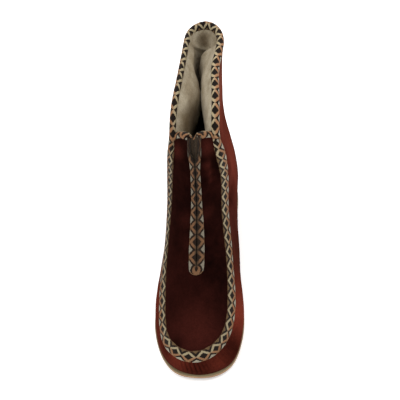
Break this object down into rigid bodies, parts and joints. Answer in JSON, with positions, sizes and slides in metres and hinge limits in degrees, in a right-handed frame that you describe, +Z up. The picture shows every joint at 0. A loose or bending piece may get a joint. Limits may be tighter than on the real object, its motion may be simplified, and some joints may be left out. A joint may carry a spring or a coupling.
{
  "type": "ankle boot",
  "caption": "Pull-on velvet ankle boot for the right foot, fleece-lined, with a long apron vamp slit at the front and a flat thin sole.",
  "frame": {"origin": "on the floor, under the middle of the boot's box", "axes": "-Y towards the toe, +Y towards the heel, +X towards the inner (medial) side, +Z up"},
  "size_m": [0.0842, 0.2601, 0.2057],
  "materials": {
    "outsole": "matt tan edge",
    "heel": "matt brown",
    "fleece": "curly cream fleece",
    "velvet": "dark maroon velvet"
  },
  "bodies": {
    "root": {"outsole": "outsole", "heel": "heel", "insole": "fleece", "upper": "velvet"}
  },
  "joints": []
}
